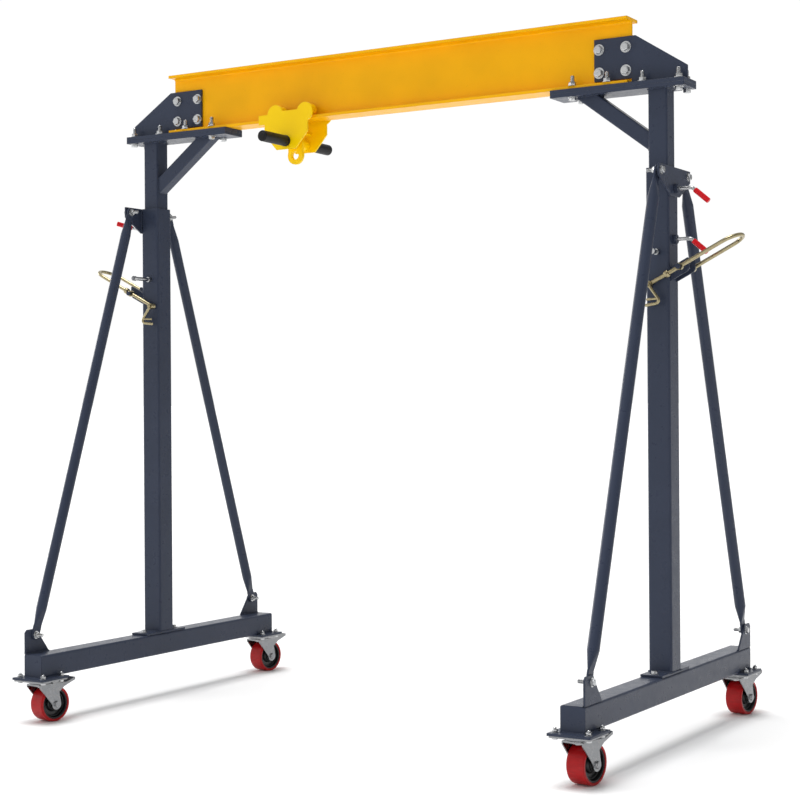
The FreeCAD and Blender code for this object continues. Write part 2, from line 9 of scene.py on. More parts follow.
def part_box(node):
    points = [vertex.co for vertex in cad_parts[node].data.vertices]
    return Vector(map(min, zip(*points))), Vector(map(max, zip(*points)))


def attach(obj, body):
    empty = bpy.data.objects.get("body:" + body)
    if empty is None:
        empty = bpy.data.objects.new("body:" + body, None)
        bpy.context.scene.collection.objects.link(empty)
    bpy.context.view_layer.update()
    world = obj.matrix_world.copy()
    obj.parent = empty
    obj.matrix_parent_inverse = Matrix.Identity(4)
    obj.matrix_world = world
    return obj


bl_info = {
    "name": "Gantry crane finishes",
    "version": (1, 0, 0),
    "blender": (4, 5, 0),
    "location": "3D View > Sidebar > Crane",
    "description": "Paints a gantry crane and adds its bolts, welds and fittings",
    "category": "Object",
}

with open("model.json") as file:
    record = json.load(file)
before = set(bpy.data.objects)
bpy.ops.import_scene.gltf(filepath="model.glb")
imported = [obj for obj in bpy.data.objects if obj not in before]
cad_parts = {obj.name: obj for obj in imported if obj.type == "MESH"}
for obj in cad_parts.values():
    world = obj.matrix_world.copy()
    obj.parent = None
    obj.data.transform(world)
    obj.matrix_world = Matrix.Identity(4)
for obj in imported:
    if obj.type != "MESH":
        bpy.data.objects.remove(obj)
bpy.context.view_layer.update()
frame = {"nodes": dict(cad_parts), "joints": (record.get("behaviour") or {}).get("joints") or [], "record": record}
MM = 0.001
LEGS = {"right": 1, "left": -1}
ENDS = {"front": -1, "back": 1}


def node_box(name):
    low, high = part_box(name)
    return Vector(low), Vector(high)


# ---- places read from the frame, in metres ----
post_low, post_high = node_box("right_outer_post")
POST_X = (post_low.x + post_high.x) / 2
POST_HALF = (post_high.x - post_low.x) / 2
POST_TOP = post_high.z
FOOT_TOP = node_box("right_post_foot")[1].z
FOOT_HALF_Y = node_box("right_post_foot")[1].y
BASE_HIGH = node_box("right_base_tube")[1]
PAD_TOP = node_box("right_base_pads")[1].z
TOP_UNDER = node_box("right_caster_tops")[0].z      # underside of the caster's top plate
HEAD_UNDER = node_box("lower_head_plates")[0].z
HEAD_TOP = node_box("upper_head_plates")[1].z
BEAM_LOW, BEAM_HIGH = node_box("beam")
WEB_LOW, WEB_HIGH = node_box("web_plates")
INNER_LOW, INNER_HIGH = node_box("inner_posts")
KNEE_LOW, KNEE_HIGH = node_box("knee_braces")
TROLLEY_FACE = node_box("trolley_side_plates")[1].y
HANDLE_LOW, HANDLE_HIGH = node_box("trolley_handles")
JOINTS = {joint["name"]: joint for joint in frame["joints"]}
knee_points = [v.co for v in frame["nodes"]["knee_braces"].data.vertices if v.co.x > 0]
knee_top = [p.x - POST_X for p in knee_points if p.z > KNEE_HIGH.z - 0.1 * MM]
knee_foot = [p.z for p in knee_points if p.x > KNEE_HIGH.x - 0.1 * MM]
KNEE_IN, KNEE_RUN = min(knee_top), max(knee_top) - min(knee_top)     # its cut against the head plate
KNEE_RISE = max(knee_foot) - min(knee_foot)                         # and against the post

# ---- bolts and welds, by how far out from the post's middle, along the base, or up ----
WEB_BOLTS_OUT = (-0.214, -0.118)
WEB_BOLTS_UP = (0.038, 0.115)        # above the beam's lower flange
FLANGE_T = 10 * MM
PLATE_ROW_OUT, PLATE_ROW_STEP = -0.300, 0.125
PLATE_ROW_Y = 36 * MM
LUG_BOLT_IN, LUG_BOLT_UP = 47 * MM, 65 * MM          # from the base tube's end and top
COLLAR_BOLT_Y, COLLAR_BOLT_DOWN = 115 * MM, 20 * MM  # from the post's middle and top
COLLAR_T = 6 * MM
STRAP_IN = 12 * MM                   # how far the braces' flat ends lie behind the post's outer face
FOOT_BOLT_IN = 26 * MM
PAD_BOLT_X, PAD_BOLT_Y = 54 * MM, 47 * MM            # from the swivel's middle
PAD_WELD, LUG_WELD, COLLAR_WELD = 0.1, 0.12, 0.09    # lengths of the beads
LEVER_SLOPE = math.radians(26.9)
LEVER_ARM_Y = 55 * MM
LEVER_RING_AT = {"right": -0.049, "left": 0.024}     # from the pivot, outwards


def leg_point(side, out, y, z):
    """A point given by how far out it lies from the middle of its post."""
    return Vector((side * (POST_X + out), y, z))


# ---- sizes and colours that a user would change ----
class CraneColours(bpy.types.PropertyGroup):
    slate: bpy.props.StringProperty(name="Legs", description="Powder coat on the legs", default="#353c4d")
    yellow: bpy.props.StringProperty(name="Beam", description="Enamel on the beam", default="#f4b300")
    trolley: bpy.props.StringProperty(name="Trolley", description="Enamel on the trolley", default="#ffd100")
    zinc: bpy.props.StringProperty(name="Bolts", description="Bright zinc plating", default="#c2c3c4")
    pressed: bpy.props.StringProperty(name="Casters", description="Zinc on pressed plate", default="#8f9092")
    passivate: bpy.props.StringProperty(name="Levers", description="Yellow zinc plating", default="#a69c7a")
    tread: bpy.props.StringProperty(name="Treads", description="Cast polyurethane", default="#a80e13")
    grip: bpy.props.StringProperty(name="Grips", description="Dipped vinyl grips", default="#cf0f1c")
    floor: bpy.props.StringProperty(name="Floor", description="Studio floor", default="#fafafa")


class CraneSizes(bpy.types.PropertyGroup):
    web_bolt: bpy.props.FloatProperty(
        name="Web bolts", description="Thread size of the bolts through the web plates",
        default=16 * MM, subtype="DISTANCE", unit="LENGTH")
    head_bolt: bpy.props.FloatProperty(
        name="Head bolts", description="Thread size of the upright bolts on the head plates",
        default=14 * MM, subtype="DISTANCE", unit="LENGTH")
    brace_bolt: bpy.props.FloatProperty(
        name="Brace bolts", description="Thread size of the bolts at the braces' ends",
        default=12 * MM, subtype="DISTANCE", unit="LENGTH")
    pad_bolt: bpy.props.FloatProperty(
        name="Caster bolts", description="Thread size of the bolts through the caster plates",
        default=10 * MM, subtype="DISTANCE", unit="LENGTH")
    weld: bpy.props.FloatProperty(
        name="Weld leg", description="Half the width of a weld bead",
        default=3.2 * MM, subtype="DISTANCE", unit="LENGTH")
    softening: bpy.props.FloatProperty(
        name="Edge softening", description="How wide the light rolls over cut and folded edges",
        default=4 * MM, subtype="DISTANCE", unit="LENGTH")


# ---- materials ----
def linear(text):
    """A hex sRGB colour as linear RGBA."""
    values = [int(text[i:i + 2], 16) / 255 for i in (1, 3, 5)]
    return tuple(v / 12.92 if v <= 0.04045 else ((v + 0.055) / 1.055) ** 2.4 for v in values) + (1.0,)


def shaded(colour, factor):
    return tuple(min(1.0, c * factor) for c in colour[:3]) + (1.0,)


def add(tree, kind, inputs, **settings):
    """Adds a node with its settings; an input is a value or another node's socket."""
    node = tree.nodes.new(kind)
    for name, value in settings.items():
        setattr(node, name, value)
    for name, value in inputs.items():
        if isinstance(value, bpy.types.NodeSocket):
            tree.links.new(value, node.inputs[name])
        else:
            node.inputs[name].default_value = value
    return node


def start_material(name):
    material = bpy.data.materials.new(name)
    material.use_nodes = True
    tree = material.node_tree
    tree.nodes.clear()
    place = add(tree, "ShaderNodeTexCoord", {}).outputs["Object"]
    return material, tree, place


def end_material(tree, shader):
    add(tree, "ShaderNodeOutputMaterial", {"Surface": shader.outputs["BSDF"]})


def noise(tree, place, size, detail=2.0, rough=0.5):
    """Noise whose blotches are about size metres across."""
    return add(tree, "ShaderNodeTexNoise", {"Vector": place, "Scale": 1 / size, "Detail": detail,
                                            "Roughness": rough}).outputs["Fac"]


def ramp(tree, value, low, high, out_low, out_high):
    return add(tree, "ShaderNodeMapRange", {"Value": value, "From Min": low, "From Max": high,
                                            "To Min": out_low, "To Max": out_high}).outputs["Result"]


def blend_colours(tree, amount, first, second):
    mix = add(tree, "ShaderNodeMix", {"Factor": amount}, data_type="RGBA")
    for socket, value in ((mix.inputs[6], first), (mix.inputs[7], second)):
        if isinstance(value, bpy.types.NodeSocket):
            tree.links.new(value, socket)
        else:
            socket.default_value = value
    return mix.outputs[2]


def paint(name, colour, rough, peel_size, peel_depth, dust, gloss):
    """A sprayed coat: fine orange peel, slow changes of shade, and a little dust that dulls the gloss.

    The peel is drawn deeper than a real one, so that it shows."""
    softening = bpy.context.scene.crane_sizes.softening
    material, tree, place = start_material(name)
    slow = noise(tree, place, 0.22, 3.0)
    dusty = noise(tree, place, 0.035, 4.0, 0.65)
    shade = blend_colours(tree, ramp(tree, slow, 0.3, 0.7, 0.0, 1.0),
                          shaded(colour, 0.93), shaded(colour, 1.06))
    speck = ramp(tree, noise(tree, place, 0.006, 2.0), 0.66, 0.74, 0.0, dust)
    tint = blend_colours(tree, speck, shade, shaded(colour, 0.72))
    peel = noise(tree, place, peel_size, 2.0)
    rounded = add(tree, "ShaderNodeBevel", {"Radius": softening}, samples=4).outputs["Normal"]
    bump = add(tree, "ShaderNodeBump", {"Height": peel, "Normal": rounded, "Strength": 0.5,
                                        "Distance": peel_depth}).outputs["Normal"]
    shader = add(tree, "ShaderNodeBsdfPrincipled", {
        "Base Color": tint, "Roughness": ramp(tree, dusty, 0.3, 0.7, rough - 0.05, rough + 0.07),
        "Normal": bump, "IOR": 1.5, "Specular IOR Level": gloss})
    end_material(tree, shader)
    return material


def plating(name, colour, rough, spangle_size, tint):
    """Electroplated zinc: crystals of slightly different grey, with dull handling marks."""
    material, tree, place = start_material(name)
    cells = add(tree, "ShaderNodeTexVoronoi", {"Vector": place, "Scale": 1 / spangle_size}).outputs["Color"]
    grey = add(tree, "ShaderNodeRGBToBW", {"Color": cells}).outputs["Val"]
    marks = noise(tree, place, 0.012, 4.0, 0.7)
    base = blend_colours(tree, ramp(tree, grey, 0.2, 0.8, 0.0, 1.0), shaded(colour, 0.95), colour)
    mixed = blend_colours(tree, ramp(tree, marks, 0.45, 0.7, 0.0, 0.55), base, tint)
    bump = add(tree, "ShaderNodeBump", {"Height": marks, "Strength": 0.25,
                                        "Distance": 0.4 * MM}).outputs["Normal"]
    shader = add(tree, "ShaderNodeBsdfPrincipled", {
        "Base Color": mixed, "Metallic": 1.0, "Normal": bump,
        "Roughness": ramp(tree, marks, 0.3, 0.7, rough - 0.06, rough + 0.12)})
    end_material(tree, shader)
    return material


def moulded(name, colour, rough, grain_size, grain_depth, ior, streak):
    """A moulded or dipped polymer: fine grain, faint flow streaks and a soft sheen."""
    material, tree, place = start_material(name)
    stretched = add(tree, "ShaderNodeMapping", {"Vector": place, "Scale": (1.0, 1.0, 5.0)}).outputs["Vector"]
    flow = noise(tree, stretched, 0.03, 3.0)
    scuff = noise(tree, place, 0.008, 5.0, 0.75)
    shade = blend_colours(tree, ramp(tree, flow, 0.3, 0.7, 0.0, 1.0), shaded(colour, 1 - streak),
                          shaded(colour, 1 + streak))
    grain = noise(tree, place, grain_size, 2.0)
    bump = add(tree, "ShaderNodeBump", {"Height": grain, "Strength": 0.4,
                                        "Distance": grain_depth}).outputs["Normal"]
    shader = add(tree, "ShaderNodeBsdfPrincipled", {
        "Base Color": shade, "Roughness": ramp(tree, scuff, 0.3, 0.7, rough - 0.05, rough + 0.1),
        "Normal": bump, "IOR": ior, "Specular IOR Level": 0.22})
    end_material(tree, shader)
    return material


def turned_steel():
    """Bare machined steel: fine rings from the lathe and a film of oil."""
    material, tree, place = start_material("turned steel")
    rings = add(tree, "ShaderNodeTexWave", {"Vector": place, "Scale": 240.0,
                                            "Distortion": 1.5}).outputs["Fac"]
    film = noise(tree, place, 0.02, 3.0)
    base = blend_colours(tree, film, linear("#8d8e90"), linear("#a6a6a4"))
    bump = add(tree, "ShaderNodeBump", {"Height": rings, "Strength": 0.3,
                                        "Distance": 0.2 * MM}).outputs["Normal"]
    shader = add(tree, "ShaderNodeBsdfPrincipled", {
        "Base Color": base, "Metallic": 1.0, "Normal": bump,
        "Roughness": ramp(tree, film, 0.3, 0.7, 0.28, 0.4)})
    end_material(tree, shader)
    return material


def make_finishes():
    c = bpy.context.scene.crane_colours
    # Polyester powder coat, semi-gloss: a soft sheen over a slight orange peel.
    paint("slate powder coat", linear(c.slate), 0.30, 2.2 * MM, 0.5 * MM, 0.15, 0.18)
    # Sprayed enamel: warm yellow, a little duller than the coat on the legs.
    paint("yellow enamel", linear(c.yellow), 0.34, 3.0 * MM, 0.5 * MM, 0.25, 0.14)
    # The same enamel on the trolley, a lighter and cleaner yellow.
    paint("trolley enamel", linear(c.trolley), 0.32, 3.0 * MM, 0.4 * MM, 0.2, 0.18)
    # Cast iron core under black enamel: coarse skin with a low shine.
    paint("black cast enamel", linear("#17181a"), 0.30, 3.5 * MM, 1.2 * MM, 0.4, 0.5)
    # Bright zinc on bolts, nuts and pins: pale, with dark glints from edge to edge.
    plating("bright zinc", linear(c.zinc), 0.22, 3 * MM, linear("#9ba0a4"))
    # Zinc on pressed plate: greyer and softer than on the bolts, from the rolled skin under it.
    plating("pressed zinc", linear(c.pressed), 0.28, 3 * MM, linear("#85898d"))
    # Yellow passivated zinc: pale straw with faint brown and rose bands.
    plating("yellow zinc", linear(c.passivate), 0.26, 7 * MM, linear("#93806a"))
    # Polyurethane cast on the wheel: deep red with a satin skin.
    moulded("cast polyurethane", linear(c.tread), 0.36, 1.6 * MM, 0.12 * MM, 1.5, 0.12)
    # Vinyl dipped over the crank's arm: bright, smooth and shiny.
    moulded("dipped vinyl", linear(c.grip), 0.24, 2.5 * MM, 0.1 * MM, 1.53, 0.06)
    # Rubber sleeve on the trolley's handles: nearly black, fine grain.
    moulded("black rubber", linear("#141416"), 0.46, 1.1 * MM, 0.2 * MM, 1.52, 0.2)
    turned_steel()


FINISH_OF_SLOT = {
    "slate_paint": "slate powder coat", "yellow_paint": "yellow enamel", "zinc_plate": "bright zinc",
    "yellow_zinc": "yellow zinc", "red_tread": "cast polyurethane",
    "black_hub": "black cast enamel", "red_grip": "dipped vinyl", "black_grip": "black rubber"}
SLOT_OF_FINISH = {finish: slot for slot, finish in FINISH_OF_SLOT.items()}
SLOT_OF_FINISH["trolley enamel"] = "yellow_paint"
SLOT_OF_FINISH["turned steel"] = "zinc_plate"
SLOT_OF_FINISH["pressed zinc"] = "zinc_plate"


class CRANE_OT_finishes(bpy.types.Operator):
    """Make every finish and put it on the steelwork"""
    bl_idname = "crane.finishes"
    bl_label = "Finishes"

    def execute(self, context):
        make_finishes()
        slots = {row["node"]: row["material_slot"] for row in frame["record"]["subparts"]}
        trolley = ("trolley_side_plates", "trolley_bars", "trolley_wheels", "load_eye")
        for name, piece in frame["nodes"].items():
            finish = "trolley enamel" if name in trolley else FINISH_OF_SLOT[slots[name]]
            if name.endswith(("_fork", "_caster_tops")) and finish == "bright zinc":
                finish = "pressed zinc"
            piece.data.materials.clear()
            piece.data.materials.append(bpy.data.materials[finish])
        return {"FINISHED"}


# ---- making and placing pieces ----
def deselect():
    bpy.ops.object.select_all(action="DESELECT")


def join(pieces, name):
    deselect()
    for piece in pieces:
        piece.select_set(True)
    bpy.context.view_layer.objects.active = pieces[0]
    if len(pieces) > 1:
        bpy.ops.object.join()
    joined = bpy.context.object
    joined.name = name
    joined.data.name = name
    return joined


def bake_place(piece):
    """Moves a piece's place into its mesh, so that its object sits at the origin."""
    deselect()
    piece.select_set(True)
    bpy.context.view_layer.objects.active = piece
    bpy.ops.object.transform_apply(location=True, rotation=True, scale=True)


def smooth(piece, degrees=35):
    deselect()
    piece.select_set(True)
    bpy.context.view_layer.objects.active = piece
    bpy.ops.object.shade_smooth_by_angle(angle=math.radians(degrees))


def settle(piece, body):
    smooth(piece)
    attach(piece, body)


def cylinder(d, z0, z1, sides=24):
    deselect()
    bpy.ops.mesh.primitive_cylinder_add(vertices=sides, radius=d / 2, depth=z1 - z0,
                                        location=(0, 0, (z0 + z1) / 2))
    piece = bpy.context.object
    bake_place(piece)
    return piece


def bevel_rims(piece, width, segments, only_top=False):
    """Rounds the sharp rims of an upright piece in edit mode."""
    top = max(v.co.z for v in piece.data.vertices)
    bpy.ops.object.mode_set(mode="EDIT")
    bpy.ops.mesh.select_mode(type="EDGE")
    bpy.ops.mesh.select_all(action="DESELECT")
    bpy.ops.object.mode_set(mode="OBJECT")
    points = piece.data.vertices
    for edge in piece.data.edges:
        a, b = (points[i].co.z for i in edge.vertices)
        flat = abs(a - b) < 1e-6
        edge.select = flat and (not only_top or abs(a - top) < 1e-6)
    bpy.ops.object.mode_set(mode="EDIT")
    bpy.ops.mesh.bevel(offset=width, segments=segments, affect="EDGES")
    bpy.ops.object.mode_set(mode="OBJECT")


def ring(outer, inner, z0, z1, sides=28):
    """A washer: a disc with a hole, its flat rims kept."""
    disc = cylinder(outer, z0, z1, sides)
    cutter = cylinder(inner, z0 - 1 * MM, z1 + 1 * MM, sides)
    cut = disc.modifiers.new("hole", "BOOLEAN")
    cut.object = cutter
    cut.operation = "DIFFERENCE"
    deselect()
    disc.select_set(True)
    bpy.context.view_layer.objects.active = disc
    bpy.ops.object.modifier_apply(modifier="hole")
    bpy.data.objects.remove(cutter)
    return disc


def hexagon(d, z0, z1, chamfer_top=True):
    """A hexagonal nut or head, one thread size d, with its corners turned off."""
    piece = cylinder(d * 1.8, z0, z1, 6)
    bevel_rims(piece, d * 0.09, 2, chamfer_top)
    return piece


def thread(d, z0, z1):
    """A stub of thread: a spun zigzag with a tapered tip."""
    pitch = d * 0.16
    turns = max(2, int((z1 - z0 - d * 0.1) / pitch))
    outline = [(0.0, z0), (d / 2, z0)]
    for i in range(turns):
        z = z0 + i * pitch
        outline += [(d / 2, z + pitch * 0.3), (d / 2 * 0.87, z + pitch * 0.65), (d / 2, z + pitch)]
    tip = z0 + turns * pitch
    outline += [(d / 2 * 0.8, tip + d * 0.1), (0.0, tip + d * 0.1)]
    return spun(outline, 18)


def spun(outline, steps):
    """Spins an outline of (radius, height) round Z into a closed solid."""
    deselect()
    mesh = bpy.data.meshes.new("profile")
    mesh.from_pydata([(r, 0, z) for r, z in outline], [(i, i + 1) for i in range(len(outline) - 1)], [])
    piece = bpy.data.objects.new("profile", mesh)
    bpy.context.scene.collection.objects.link(piece)
    piece.select_set(True)
    bpy.context.view_layer.objects.active = piece
    bpy.ops.object.mode_set(mode="EDIT")
    bpy.ops.mesh.select_all(action="SELECT")
    bpy.ops.mesh.spin(steps=steps, angle=math.tau, axis=(0, 0, 1), center=(0, 0, 0))
    bpy.ops.mesh.select_all(action="SELECT")
    bpy.ops.mesh.remove_doubles(threshold=1e-6)
    bpy.ops.mesh.normals_make_consistent(inside=False)
    bpy.ops.object.mode_set(mode="OBJECT")
    return piece


def turned(*profile, steps=48):
    """A ring spun from a closed profile of (radius, height) in millimetres."""
    return spun([(r * MM, z * MM) for r, z in profile + profile[:1]], steps)


def bolt_head(d):
    """Washer and hex head, seated on the XY plane and pointing up."""
    dome = cylinder(d * 1.25, d * 0.86, d * 0.9, 24)
    return join([ring(d * 2.35, d * 1.05, 0, d * 0.17), hexagon(d, d * 0.17, d * 0.87), dome], "head")


def nut_and_thread(d, proud):
    """Washer, nut and the bolt's end that stands proud of it."""
    nut_top = d * 1.02
    return join([ring(d * 2.3, d * 1.05, 0, d * 0.17), hexagon(d, d * 0.17, nut_top, False),
                 thread(d, nut_top - d * 0.2, nut_top + proud)], "nut")


def repeated(template, name, finish, body, spots):
    """Copies a piece to each (point, direction, turn), joins the copies and puts them on a body."""
    copies = []
    for point, direction, turn in spots:
        copy = bpy.data.objects.new(name, template.data.copy())
        bpy.context.scene.collection.objects.link(copy)
        aim = Vector(direction).to_track_quat("Z", "Y").to_matrix().to_4x4()
        copy.data.transform(Matrix.Translation(point) @ aim @ Matrix.Rotation(turn, 4, "Z"))
        copies.append(copy)
    piece = join(copies, name)
    piece.data.materials.clear()
    piece.data.materials.append(bpy.data.materials[finish])
    settle(piece, body)
    return piece


def discard(*pieces):
    for piece in pieces:
        bpy.data.objects.remove(piece)


def turns(count):
    """Wrench angles that differ from bolt to bolt, as hand-tightened bolts do."""
    return [math.radians((i * 37) % 60) for i in range(count)]


def with_turns(spots):
    return [(point, way, turn) for (point, way), turn in zip(spots, turns(len(spots)))]


# ---- welds ----
def weld_bead(name, body, runs, finish):
    """Rippled beads along runs of points; each ripple is a swell in the bead."""
    size = bpy.context.scene.crane_sizes.weld
    step = size * 0.55
    beads = []
    for run in runs:
        curve = bpy.data.curves.new(name, "CURVE")
        curve.dimensions = "3D"
        curve.bevel_depth = size
        curve.bevel_resolution = 1
        curve.use_fill_caps = True
        points = []
        for a, b in zip(run, run[1:]):
            count = max(2, int((Vector(b) - Vector(a)).length / step))
            points += [Vector(a).lerp(Vector(b), i / count) for i in range(count)]
        points.append(Vector(run[-1]))
        line = curve.splines.new("POLY")
        line.points.add(len(points) - 1)
        for i, (spot, at) in enumerate(zip(line.points, points)):
            spot.co = (*at, 1)
            spot.radius = 1.0 + 0.16 * math.sin(i * 2.1) + 0.08 * math.sin(i * 0.37)
        bead = bpy.data.objects.new(name, curve)
        bpy.context.scene.collection.objects.link(bead)
        deselect()
        bead.select_set(True)
        bpy.context.view_layer.objects.active = bead
        bpy.ops.object.convert(target="MESH")
        beads.append(bpy.context.object)
    piece = join(beads, name)
    piece.data.materials.clear()
    piece.data.materials.append(bpy.data.materials[finish])
    settle(piece, body)
    return piece


def square(centre, half_x, half_y):
    """A closed square run round a centre, in a level plane."""
    corners = [(-1, -1), (1, -1), (1, 1), (-1, 1), (-1, -1)]
    return [Vector((centre.x + a * half_x, centre.y + b * half_y, centre.z)) for a, b in corners]


class CRANE_OT_welds(bpy.types.Operator):
    """Lay the weld beads of the legs, head plates and lugs"""
    bl_idname = "crane.welds"
    bl_label = "Welds"

    def execute(self, context):
        half = POST_HALF
        lug_in = half - 6 * MM
        for name, side in LEGS.items():
            runs = [square(leg_point(side, 0, 0, FOOT_TOP), half, half)]
            for end in ENDS.values():
                edge = end * BASE_HIGH.y
                back = edge - end * PAD_WELD
                for x in (-half, half):
                    runs.append([leg_point(side, x, edge, PAD_TOP), leg_point(side, x, back, PAD_TOP)])
                runs.append([leg_point(side, -half, edge, PAD_TOP), leg_point(side, half, edge, PAD_TOP)])
                runs.append([leg_point(side, lug_in, edge, BASE_HIGH.z),
                             leg_point(side, lug_in, edge - end * LUG_WELD, BASE_HIGH.z)])
            for y in (-half, half):
                runs.append([leg_point(side, half, y, POST_TOP - COLLAR_WELD),
                             leg_point(side, half, y, POST_TOP - 2 * MM)])
            weld_bead(name + "_leg_welds", name + "_leg", runs, "slate powder coat")
        runs = []
        inner = (INNER_HIGH.y - INNER_LOW.y) / 2
        for side in LEGS.values():
            runs.append(square(leg_point(side, 0, 0, HEAD_UNDER), inner, inner))
            for y in (-KNEE_HIGH.y, KNEE_HIGH.y):
                runs.append([leg_point(side, KNEE_IN, y, HEAD_UNDER),
                             leg_point(side, KNEE_IN + KNEE_RUN, y, HEAD_UNDER)])
                runs.append([leg_point(side, -inner, y, KNEE_LOW.z),
                             leg_point(side, -inner, y, KNEE_LOW.z + KNEE_RISE)])
        weld_bead("head_welds", "upper_frame", runs, "slate powder coat")
        return {"FINISHED"}


# ---- bolts ----
class CRANE_OT_head_bolts(bpy.types.Operator):
    """Fit the bolts through the web plates and the head plates"""
    bl_idname = "crane.head_bolts"
    bl_label = "Head bolts"

    def execute(self, context):
        sizes = context.scene.crane_sizes
        head = bolt_head(sizes.web_bolt)
        nut = nut_and_thread(sizes.web_bolt, 9 * MM)
        heads, nuts = [], []
        flange_top = BEAM_LOW.z + FLANGE_T
        for side in LEGS.values():
            for out in WEB_BOLTS_OUT:
                for rise in WEB_BOLTS_UP:
                    heads.append((leg_point(side, out, WEB_LOW.y, flange_top + rise), (0, -1, 0)))
                    nuts.append((leg_point(side, out, -WEB_HIGH.y, flange_top + rise), (0, 1, 0)))
        repeated(head, "web_bolt_heads", "bright zinc", "upper_frame", with_turns(heads))
        repeated(nut, "web_bolt_nuts", "bright zinc", "upper_frame", with_turns(nuts))
        discard(head, nut)
        head = bolt_head(sizes.head_bolt)
        nut = nut_and_thread(sizes.head_bolt, 22 * MM)
        heads, nuts = [], []
        beam_end = BEAM_HIGH.x - POST_X
        for side in LEGS.values():
            for index in range(4):
                out = PLATE_ROW_OUT + PLATE_ROW_STEP * index
                seat = flange_top if out < beam_end else HEAD_TOP
                for y in (-PLATE_ROW_Y, PLATE_ROW_Y):
                    nuts.append((leg_point(side, out, y, seat), (0, 0, 1)))
                    if index in (0, 3):      # the heads of the other two would meet the post or the knee
                        heads.append((leg_point(side, out, y, HEAD_UNDER), (0, 0, -1)))
        repeated(head, "plate_bolt_heads", "bright zinc", "upper_frame", with_turns(heads))
        repeated(nut, "plate_bolt_nuts", "bright zinc", "upper_frame", with_turns(nuts))
        discard(head, nut)
        return {"FINISHED"}


class CRANE_OT_leg_bolts(bpy.types.Operator):
    """Fit the bolts of the braces, the post feet and the caster plates"""
    bl_idname = "crane.leg_bolts"
    bl_label = "Leg bolts"

    def execute(self, context):
        sizes = context.scene.crane_sizes
        brace_head = bolt_head(sizes.brace_bolt)
        brace_nut = nut_and_thread(sizes.brace_bolt, 20 * MM)
        pad_nut = nut_and_thread(sizes.pad_bolt, 6 * MM)
        pad_head = hexagon(sizes.pad_bolt, 0, 6.5 * MM)
        strap_in = POST_HALF - STRAP_IN
        for name, side in LEGS.items():
            body = name + "_leg"
            heads, nuts = [], []
            outward = (side, 0, 0)
            inward = (-side, 0, 0)
            for end in ENDS.values():
                lug = (end * (BASE_HIGH.y - LUG_BOLT_IN), BASE_HIGH.z + LUG_BOLT_UP)
                collar = (end * COLLAR_BOLT_Y, POST_TOP - COLLAR_BOLT_DOWN)
                heads.append((leg_point(side, POST_HALF, *lug), outward))
                heads.append((leg_point(side, POST_HALF + COLLAR_T, *collar), outward))
                nuts.append((leg_point(side, strap_in, *lug), inward))
                nuts.append((leg_point(side, strap_in, *collar), inward))
                foot_y = end * (FOOT_HALF_Y - FOOT_BOLT_IN)
                heads.append((leg_point(side, 0, foot_y, FOOT_TOP), (0, 0, 1)))
            repeated(brace_head, name + "_brace_heads", "bright zinc", body, with_turns(heads))
            repeated(brace_nut, name + "_brace_nuts", "bright zinc", body, with_turns(nuts))
            tops, bottoms = [], []
            for end in ENDS.values():
                middle = end * abs(JOINTS[name + "_front_swivel"]["pos_m"][1])
                for x in (-PAD_BOLT_X, PAD_BOLT_X):
                    for y in (-PAD_BOLT_Y, PAD_BOLT_Y):
                        tops.append((leg_point(side, x, middle + y, PAD_TOP), (0, 0, 1)))
                        bottoms.append((leg_point(side, x, middle + y, TOP_UNDER), (0, 0, -1)))
            repeated(pad_nut, name + "_pad_nuts", "bright zinc", body, with_turns(tops))
            repeated(pad_head, name + "_pad_heads", "bright zinc", body, with_turns(bottoms))
        discard(brace_head, brace_nut, pad_nut, pad_head)
        return {"FINISHED"}


# ---- wheels and small fittings ----
def roll_axis(corner):
    joint = JOINTS[corner + "_roll"]
    return Vector(joint["pos_m"]), Vector(joint["axis"]).normalized()


class CRANE_OT_wheels(bpy.types.Operator):
    """Add the hub rings, bearings, races and axle nuts of the caster wheels"""
    bl_idname = "crane.wheels"
    bl_label = "Wheels"

    def execute(self, context):
        bearing = turned((6.4, 29.6), (9, 31.5), (14, 31.5), (15.5, 29.6), steps=32)
        nut = hexagon(13 * MM, 38 * MM, 44 * MM)
        king = hexagon(18 * MM, 0, 7 * MM)
        lips = turned((37, 0), (42, 0), (42, 2.5), (39.5, 4), (39.5, 7), (43, 9), (43, 11.8), (37, 11.8))
        dish = turned((40, 13), (41, 18), (42.5, 19.5), (44.5, 19.5), (46, 18), (47, 13))
        boss = turned((20, 13), (20, 22), (22, 24), (25, 22), (29, 13))
        rings = join([dish, boss], "rings")
        for leg in LEGS:
            for end in ENDS:
                corner = leg + "_" + end
                centre, axis = roll_axis(corner)
                both = [(centre, axis, 0.0), (centre, -axis, 0.0)]
                repeated(rings, corner + "_hub_rings", "black cast enamel", corner + "_wheel", both)
                repeated(bearing, corner + "_bearings", "turned steel", corner + "_wheel", both)
                repeated(nut, corner + "_axle_nuts", "bright zinc", corner + "_swivel", both)
                swivel_x, swivel_y = JOINTS[corner + "_swivel"]["pos_m"][:2]
                crown = Vector((swivel_x, swivel_y, TOP_UNDER - 12.3 * MM))
                under = crown - Vector((0, 0, 5 * MM))
                race, nut_under = [(crown, (0, 0, 1), 0.0)], [(under, (0, 0, -1), 0.0)]
                repeated(lips, corner + "_race", "pressed zinc", corner + "_swivel", race)
                repeated(king, corner + "_king_nut", "bright zinc", corner + "_swivel", nut_under)
        discard(rings, bearing, nut, king, lips)
        return {"FINISHED"}


